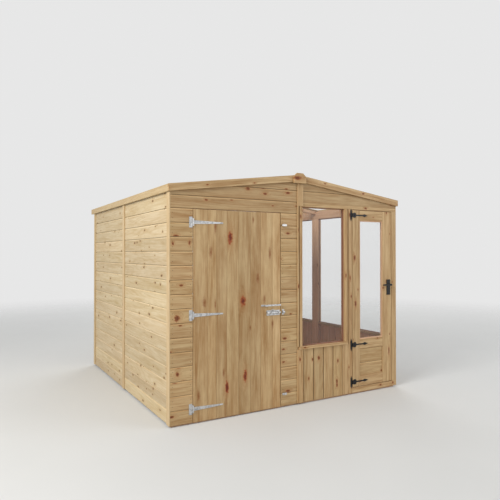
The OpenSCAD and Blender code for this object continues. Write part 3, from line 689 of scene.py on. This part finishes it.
def layRows(bm, low, high, out, anchor, pitch, tone=None, leastTop=rowLimits["leastTop"]):
    along = axisY if abs(out.x) > 0.5 else axisX
    thick = abs((high - low).dot(out))
    breaks = rowBreaks(low.z, high.z, anchor, pitch, leastTop)
    for bottom, top in zip(breaks, breaks[1:]):
        corner = faceCorner(low, high, out)
        corner.z = bottom
        outline = shiplapOutline(top - bottom, thick)
        addBoard(bm, corner, along, axisZ, out, (high - low).dot(along), outline, shiplap["deep"], tone)
    return breaks


def layColumns(bm, low, high, out, along, anchor, joint):
    stack = axisX if abs(out.x) < 0.5 else axisY
    thick = abs((high - low).dot(out))
    breaks = rowBreaks(low.dot(stack), high.dot(stack), anchor, joint["pitch"])
    for first, last in zip(breaks, breaks[1:]):
        corner = faceCorner(low, high, out)
        corner += stack * (first - corner.dot(stack))
        outline = tonguedOutline(last - first, thick, joint)
        addBoard(bm, corner, along, stack, out, (high - low).dot(along), outline, joint["deep"])


def cutBySlope(bm):
    for side in (-1, 1):
        normal = Vector((side * math.sin(slopeAngle), 0, math.cos(slopeAngle)))
        geometry = bm.verts[:] + bm.edges[:] + bm.faces[:]
        cut = bmesh.ops.bisect_plane(bm, geom=geometry, plane_co=Vector((0, 0, ridgeZ)), plane_no=normal,
                                     clear_outer=True, dist=tiny)["geom_cut"]
        bmesh.ops.holes_fill(bm, edges=[item for item in cut if isinstance(item, bmesh.types.BMEdge)])


# nails and screws; crown, tall, rim and sunk are shares of the radius
nail = {"radius": 0.0023, "height": 0.0007, "sides": 8, "crown": 0.7, "upBoard": (0.28, 0.66),
        "fromEnd": 0.018, "leastBoard": 0.06, "studReach": 0.06}
screw = {"small": 0.0035, "large": 0.0075, "sides": 16, "crown": 0.72, "tall": 0.45, "rim": 0.35,
         "sunk": 0.25}


def turnedTo(place, out):
    return Matrix.Translation(place) @ out.to_track_quat("Z", "Y").to_matrix().to_4x4()


def addHead(bm, place, out, radius, tall, kind):
    return bmesh.ops.create_cone(bm, cap_ends=True, segments=kind["sides"], radius1=radius,
                                 radius2=radius * kind["crown"], depth=tall,
                                 matrix=turnedTo(place + out * tall / 2, out))["verts"]


def addNail(bm, place, out, radius=nail["radius"]):
    addHead(bm, place, out, radius, nail["height"], nail)


def addScrew(bm, place, out, radius):
    verts = addHead(bm, place, out, radius, radius * screw["tall"], screw)
    top = max(facesAt(verts), key=lambda face: face.calc_center_median().dot(out))
    bmesh.ops.inset_individual(bm, faces=[top], thickness=radius * screw["rim"],
                               depth=-radius * screw["sunk"])


def nailRows(bm, breaks, spots, out):
    for bottom, top in zip(breaks, breaks[1:]):
        if top - bottom < nail["leastBoard"]:
            continue
        for place in spots:
            for share in nail["upBoard"]:
                addNail(bm, Vector((place.x, place.y, bottom + share * (top - bottom))), out)


# cladding, laid board by board in the place of each sheet
def makeCladding():
    nails = startMesh()
    bm = startMesh()
    for low, high in solidBoxes("front_side_cladding"):
        breaks = layRows(bm, low, high, toFront, lintelZ, shiplap["pitch"])
        ends = (low.x + nail["fromEnd"], high.x - nail["fromEnd"])
        spots = [Vector((x, frontFace, 0)) for x in ends]
        nailRows(nails, breaks, spots, toFront)
    finishPiece("frontSideBoards", bm, [pineBoards, pineFrame], "shed", ["front_side_cladding"])

    bm = startMesh()
    for low, high in solidBoxes("front_gable_cladding"):
        # gable boards set darker all over: painted shade under the barge boards
        layRows(bm, low, high, toFront, lintelZ, shiplap["gablePitch"], shiplap["gablePaintedShade"])
    cutBySlope(bm)
    finishPiece("frontGableBoards", bm, [pineBoards, pineFrame], "shed", ["front_gable_cladding"])

    bm = startMesh()
    low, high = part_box("left_wall_cladding")
    middle, half = (low.y + high.y) / 2, shiplap["buttGap"] / 2
    for start, end in ((low.y, middle - half), (middle + half, high.y)):
        breaks = layRows(bm, Vector((low.x, start, low.z)), Vector((high.x, end, high.z)), toLeft, lintelZ,
                         shiplap["pitch"], leastTop=shiplap["leftLeastTop"])
    # left wall boards in the paler copy, partly painted light of the lit side
    finishPiece("leftWallBoards", bm, [pineSidePaintedLight, pineFrame], "shed", ["left_wall_cladding"])
    studs = solidBoxes("wall_studs")
    spots = [Vector((leftFace, (low.y + high.y) / 2, 0)) for low, high in studs
             if low.x < leftFace + nail["studReach"]]
    nailRows(nails, breaks, spots, toLeft)

    bm = startMesh()
    for low, high in solidBoxes("back_wall_cladding"):
        breaks = layRows(bm, low, high, toBack, lintelZ, shiplap["pitch"])
        if low.z < sillZ:
            spots = [Vector(((first.x + last.x) / 2, backFace, 0)) for first, last in studs
                     if last.y > backFace - nail["studReach"] and last.x < high.x]
            nailRows(nails, [row for row in breaks if row < eavesZ], spots, toBack)
    cutBySlope(bm)
    finishPiece("backWallBoards", bm, [pineBoards, pineFrame], "shed", ["back_wall_cladding"])

    bm = startMesh()
    for low, high in solidBoxes("low_boards"):
        if high.y - low.y > high.x - low.x:
            layColumns(bm, low, high, toRight, axisZ, high.y, lowJoint)
        else:
            layColumns(bm, low, high, toFront if low.y < 0 else toBack, axisZ, high.x, lowJoint)
    finishPiece("lowBoards", bm, [pineBoards, pineFrame], "shed", ["low_boards"])
    finishPiece("wallNails", nails, [blackIron], "shed")
    print("cladding laid")


# shed door: matched boards of uneven width, each with its start from the door's left edge and its tone
doorBoards = [(0.0, 1.0), (0.013, 0.1), (0.125, 0.35), (0.202, -0.3), (0.295, -0.2), (0.403, -0.6),
              (0.514, -0.3), (0.614, 0.5), (0.731, 1.2)]
doorEase = {"ledges": 0.004, "braces": 0.003}


def makeShedDoor():
    bm = startMesh()
    low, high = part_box("shed_door_boards")
    starts = [start for start, _ in doorBoards] + [high.x - low.x]
    for (start, tone), end in zip(doorBoards, starts[1:]):
        outline = tonguedOutline(end - start, high.y - low.y, doorJoint)
        addBoard(bm, low + axisX * start, axisZ, axisX, toFront, high.z - low.z, outline, doorJoint["deep"],
                 tone)
    finishPiece("shedDoorBoards", bm, [pineDoor, pineDoorBack], "shed_door", ["shed_door_boards"])
    for name, node, ease in (("shedDoorLedges", "shed_door_ledges", doorEase["ledges"]),
                             ("shedDoorBraces", "shed_door_braces", doorEase["braces"])):
        dressTimber(name, node, pineDoorBack, "shed_door", ease)
    print("shed door made")


# glazed door, its panel and its beads
glazedDoor = {"panelJoint": 0.285, "panelPitch": 0.136, "ease": 0.0025}
bead = {"wide": 0.008, "thick": 0.009, "ease": 0.0012}


def addBeads(bm, low, high):
    flat = 0 if high.x - low.x < high.y - low.y else 1
    level = 1 - flat
    wide, thick = bead["wide"], bead["thick"]
    strips = [(low[level], high[level], low.z, low.z + wide),
              (low[level], high[level], high.z - wide, high.z),
              (low[level], low[level] + wide, low.z + wide, high.z - wide),
              (high[level] - wide, high[level], low.z + wide, high.z - wide)]
    for start in (low[flat] - thick, high[flat]):
        for first, last, bottom, top in strips:
            near, far = Vector((0, 0, bottom)), Vector((0, 0, top))
            near[flat], far[flat] = start, start + thick
            near[level], far[level] = first, last
            addTimber(bm, near, far, bead["ease"])


def makeGlazedDoor():
    body = "greenhouse_door"
    dressTimber("glazedDoorStiles", "greenhouse_door_stiles", pineTrim, body, glazedDoor["ease"])
    dressTimber("glazedDoorRails", "greenhouse_door_rails", pineTrim, body, glazedDoor["ease"])
    bm = startMesh()
    low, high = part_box("greenhouse_door_boards")
    layRows(bm, low, high, toFront, glazedDoor["panelJoint"], glazedDoor["panelPitch"])
    finishPiece("glazedDoorBoards", bm, [pineBoards, pineDoorBack], body,
                ["greenhouse_door_boards"])
    bm = startMesh()
    addBeads(bm, *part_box("greenhouse_door_pane"))
    finishPiece("glazedDoorBeads", bm, [pineFrame], body)
    print("glazed door made")


# door post beside the front window: two boards with a sunk strip between them, on a wider foot
doorPost = {"leftBoard": 0.030, "sunkStrip": 0.022, "sunk": 0.007}


def addDoorPost(bm, low, high, windowEdge):
    stripLeft = windowEdge + doorPost["leftBoard"]
    stripRight = stripLeft + doorPost["sunkStrip"]
    addTimber(bm, low, Vector((high.x, high.y, sillZ)))
    for left, right, sunk in ((windowEdge, stripLeft, 0), (stripLeft, stripRight, doorPost["sunk"]),
                              (stripRight, high.x, 0)):
        addTimber(bm, Vector((left, low.y + sunk, sillZ)), Vector((right, high.y, high.z)))


def makeFrame():
    for name, node in (("floorJoists", "joists"), ("bottomRails", "bottom_rails"),
                       ("wallStuds", "wall_studs"), ("topRails", "top_rails"), ("ridgeBeam", "ridge_beam")):
        dressTimber(name, node, pineFrame, "shed")
    dressTimber("roofRafters", "rafters", pineFrame, "shed", sloped=True)
    for name, node in (("windowSills", "window_sills"), ("greenhouseHeads", "greenhouse_rails"),
                       ("coverStrips", "cover_strips"), ("cornerTrims", "corner_trims"),
                       ("eavesFascias", "eaves_fascias"), ("apexBlocks", "apex_blocks")):
        dressTimber(name, node, pineTrim, "shed")
    dressTimber("bargeBoards", "barge_boards", pineTrim, "shed", sloped=True)
    dressTimber("glazingBars", "glazing_bars", pineTrim, "shed", sloped=True)

    panes = solidBoxes("window_panes")
    windowEdge = min(panes, key=lambda pair: pair[0].y)[1].x
    bm = startMesh()
    for low, high in solidBoxes("greenhouse_posts"):
        if low.y < frontFace + flush and low.x < windowEdge < high.x:
            addDoorPost(bm, low, high, windowEdge)
        else:
            addTimber(bm, low, high)
    finishPiece("greenhousePosts", bm, [pineTrim], "shed", ["greenhouse_posts"])
    bm = startMesh()
    for low, high in panes:
        addBeads(bm, low, high)
    # window beads take the darker copy: painted shade of the reveal
    finishPiece("windowBeads", bm, [pineBeadShade], "shed")

    bm = startMesh()
    low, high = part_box("floor_deck")
    layColumns(bm, low, high, axisZ, axisY, low.x, deckJoint)
    finishPiece("floorDeck", bm, [pineFrame, pineFrame], "shed", ["floor_deck"])
    print("frame and trim made")


# boarded roof slope: boards below, two lapped courses of felt above with clout nails
felting = {"course": 0.64, "lap": 0.07, "thick": 0.0028, "step": 0.02, "nailGap": 0.13, "nailIn": 0.03,
           "nailRadius": 0.005}


def makeRoof():
    climb = upSlope(1)
    outward = climb.cross(axisY)
    low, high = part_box("roof_boards")
    run = (high.x - low.x) / math.cos(slopeAngle)
    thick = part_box("roof_felt")[0].z - low.z
    bm = startMesh()
    count = round(run / deckJoint["pitch"])
    for row in range(count):
        outline = tonguedOutline(run / count, thick * math.cos(slopeAngle), deckJoint)
        addBoard(bm, low + climb * (run / count * row), axisY, climb, -outward, high.y - low.y, outline,
                 deckJoint["deep"])
    finishPiece("roofBoards", bm, [pineFrame, pineFrame], "shed", ["roof_boards"])

    low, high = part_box("roof_felt")
    course, lap, thick, step = felting["course"], felting["lap"], felting["thick"], felting["step"]
    under = [(0, 0), (0, course), (-thick, course), (-thick, 0)]
    upper = [(-thick, course - lap), (-thick, course), (0, course + step), (0, run), (-thick, run),
             (-thick, course + step), (-2 * thick, course), (-2 * thick, course - lap)]
    bm = startMesh()
    for outline in (under, upper):
        addBoard(bm, low, axisY, climb, outward, high.y - low.y, outline, deep=1.0)  # felt has no joints
    finishPiece("roofFelt", bm, [mineralFelt, mineralFelt], "shed", ["roof_felt"])

    bm = startMesh()
    count = int((high.y - low.y) / felting["nailGap"])
    for row, level in ((felting["nailIn"], thick), (course - lap + felting["nailIn"], 2 * thick)):
        for place in range(count):
            spotY = (place + 0.5) * (high.y - low.y) / count
            addNail(bm, low + climb * row + outward * level + axisY * spotY, outward, felting["nailRadius"])
    finishPiece("feltNails", bm, [brightZinc], "shed")
    print("roof covered")


# hinges, bolt, buttons and handles with their screws
hardware = {"leaf": 0.003, "ease": 0.0006, "sharp": math.radians(35), "curved": 0.02, "plateScrewIn": 0.012}
boltRing = {"fromEnd": 0.057, "radius": 0.011, "wire": 0.0028, "rodRadius": 0.006, "sides": 10, "steps": 24}
barScrews = {"radius": 0.005, "downBar": (0.1, 0.37, 0.64, 0.92)}
screwSpots = {  # from each solid's left edge and its middle height
    "shed_hinge_plates": [(0.009, -0.033), (0.019, -0.018), (0.019, 0.018), (0.009, 0.033)],
    "shed_hinge_straps": [(0.036, 0), (0.100, 0), (0.170, 0), (0.245, 0)],
    "bolt_plate": [(0.030, -0.016), (0.030, 0.016), (0.102, -0.016), (0.102, 0.016)],
    "bolt_keep": [(0.011, -0.0165), (0.011, 0.0165)],
    "greenhouse_hinge_plates": [(0.009, -0.048), (0.009, -0.026), (0.009, 0.026), (0.009, 0.048)],
    "greenhouse_hinge_straps": [(0.115, 0), (0.160, 0)],
}
strapBoss = [(0.0345, 0)]


def dressMetal(name, node, material, body, screws=(), extra=None):
    bm = copyOfNode(node)
    sharp = []
    for edge in bm.edges:
        angle = edge.calc_face_angle(0.0)
        edge.smooth = angle < hardware["sharp"]
        if not edge.smooth:
            sharp.append(edge)
        elif angle > hardware["curved"]:
            for face in edge.link_faces:
                face.smooth = True
    roundEdges(bm, sharp, hardware["ease"])
    bmesh.ops.dissolve_degenerate(bm, dist=tiny, edges=bm.edges[:])
    for place, radius in screws:
        addScrew(bm, place, toFront, radius)
    if extra:
        extra(bm)
    finishPiece(name, bm, [material], body, [node])


def addBoltRing(bm):
    low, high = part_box("bolt_rod")
    axis = Vector((low.x + boltRing["fromEnd"], high.y - boltRing["rodRadius"], (low.z + high.z) / 2))
    centre = axis + axisZ * (boltRing["rodRadius"] + boltRing["radius"])
    before = set(bm.faces)
    circle = bmesh.ops.create_circle(bm, segments=boltRing["sides"], radius=boltRing["wire"],
                                     matrix=Matrix.Translation(centre + axisX * boltRing["radius"]))["verts"]
    bmesh.ops.spin(bm, geom=circle + edgesAt(circle), cent=centre, axis=axisY, angle=2 * math.pi,
                   steps=boltRing["steps"], use_merge=True)
    made = [face for face in bm.faces if face not in before]
    bmesh.ops.recalc_face_normals(bm, faces=made)
    for face in made:
        face.smooth = True


def leafScrews(node, offsets, radius=screw["small"]):
    screws = []
    for low, high in solidBoxes(node):
        for x, z in offsets:
            place = Vector((low.x + x, frontFace - hardware["leaf"], (low.z + high.z) / 2 + z))
            screws.append((place, radius))
    return screws


def makeHardware():
    for name, node, body in (("shedHingePlates", "shed_hinge_plates", "shed"),
                             ("shedHingeStraps", "shed_hinge_straps", "shed_door"),
                             ("boltPlate", "bolt_plate", "shed_door"), ("boltKeep", "bolt_keep", "shed")):
        dressMetal(name, node, brightZinc, body, leafScrews(node, screwSpots[node]))
    dressMetal("boltRod", "bolt_rod", brightZinc, "bolt", extra=addBoltRing)
    dressMetal("pullHandle", "pull_handle", brightZinc, "shed_door")
    for name, node, body in (("turnButtonTop", "turn_button_top", "button_top"),
                             ("turnButtonBottom", "turn_button_bottom", "button_bottom")):
        low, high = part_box(node)
        pivot = Vector((low.x + (high.z - low.z) / 2, low.y, (low.z + high.z) / 2))
        dressMetal(name, node, brightZinc, body, [(pivot, screw["small"])])

    plates, straps = "greenhouse_hinge_plates", "greenhouse_hinge_straps"
    dressMetal("ironHingePlates", plates, blackIron, "shed",
               leafScrews(plates, screwSpots[plates]))
    dressMetal("ironHingeStraps", straps, blackIron, "greenhouse_door",
               leafScrews(straps, strapBoss, screw["large"]) + leafScrews(straps, screwSpots[straps]))
    low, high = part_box("handle_plate")
    ends = (low.z + hardware["plateScrewIn"], high.z - hardware["plateScrewIn"])
    dressMetal("handlePlate", "handle_plate", blackIron, "greenhouse_door",
               [(Vector(((low.x + high.x) / 2, low.y, z)), screw["small"]) for z in ends])
    dressMetal("leverHandle", "lever_handle", blackIron, "lever")

    bm = startMesh()
    down, outward = upSlope(-1), Vector((math.sin(slopeAngle), 0, math.cos(slopeAngle)))
    for low, high in solidBoxes("glazing_bars"):
        top = Vector((low.x, (low.y + high.y) / 2, high.z))
        run = (high.x - low.x) / math.cos(slopeAngle)
        for share in barScrews["downBar"]:
            addScrew(bm, top + down * run * share, outward, barScrews["radius"])
    finishPiece("glazingScrews", bm, [brightZinc], "shed")
    print("hardware made")


def keepNode(node, material):
    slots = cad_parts[node].data.materials
    slots.clear()
    slots.append(material)


makeCladding()
makeShedDoor()
makeGlazedDoor()
makeFrame()
makeRoof()
makeHardware()
for node in ("window_panes", "roof_panes", "greenhouse_door_pane"):
    keepNode(node, clearPane)
keepNode("ridge_cap", mineralFelt)


# stage: pale floor, soft lamps and a plain sky that is paler where it is seen
stage = {
    "floor": srgb(210, 210, 208),
    "floorHalf": 60.0,
    "floorClear": 3.5,
    "floorEnd": 11.0,
    "floorRoughness": 0.85,
    "floorCloud": (0.05, 0.97),
    "cloudScale": 1.3,
    "sky": (0.50, 0.51, 0.52, 1.0),
    "skySeen": (0.80, 0.80, 0.80, 1.0),
    "lampAim": (0, -0.5, 0.9),
    "lamps": [  # name, place, size, power, colour
        ("keyLamp", (-6.5, -3.0, 5.0), 3.5, 460.0, (1.0, 0.99, 0.97)),
        ("fillLamp", (5.5, -6.0, 3.5), 5.0, 190.0, (1.0, 1.0, 1.0)),
        ("backLamp", (4.5, 6.0, 6.0), 5.0, 230.0, (1.0, 1.0, 1.0)),
    ],
}


def makeFloor():
    bm = bmesh.new()
    bmesh.ops.create_grid(bm, x_segments=1, y_segments=1, size=stage["floorHalf"])
    mesh = bpy.data.meshes.new("studioFloor")
    bm.to_mesh(mesh)
    bm.free()
    material, tree, shader = startMaterial("paleFloor")
    place = objectPlace(tree)
    cloud = noise(tree, place, stage["cloudScale"], 3.0)
    colour = dim(tree, stage["floor"], calc(tree, "MULTIPLY_ADD", cloud, *stage["floorCloud"]))
    tree.links.new(colour, shader.inputs["Base Color"])
    far = tree.nodes.new("ShaderNodeVectorMath")  # the floor fades into the plain background
    far.operation = "LENGTH"
    tree.links.new(place, far.inputs[0])
    clear = fade(tree, far.outputs["Value"], stage["floorEnd"], stage["floorClear"])
    tree.links.new(clear, shader.inputs["Alpha"])
    shader.inputs["Roughness"].default_value = stage["floorRoughness"]
    mesh.materials.append(material)
    addObject("studioFloor", mesh)


def makeLight():
    world = bpy.data.worlds.new("studioWorld")
    bpy.context.scene.world = world
    world.use_nodes = True
    tree = world.node_tree
    rays = tree.nodes.new("ShaderNodeLightPath").outputs
    seen = calc(tree, "MAXIMUM", rays["Is Camera Ray"],
                calc(tree, "MAXIMUM", rays["Is Glossy Ray"], rays["Is Transmission Ray"]))
    sky = blendColour(tree, seen, stage["sky"], stage["skySeen"])
    tree.links.new(sky, tree.nodes["Background"].inputs["Color"])
    for name, place, size, power, colour in stage["lamps"]:
        lamp = bpy.data.lights.new(name, "AREA")
        lamp.size = size
        lamp.energy = power
        lamp.color = colour
        lampObject = addObject(name, lamp)
        lampObject.location = place
        aim = Vector(stage["lampAim"]) - Vector(place)
        lampObject.rotation_euler = aim.to_track_quat("-Z", "Y").to_euler()
    bpy.context.scene.view_settings.view_transform = "Standard"
    print("stage lit")


makeFloor()
makeLight()
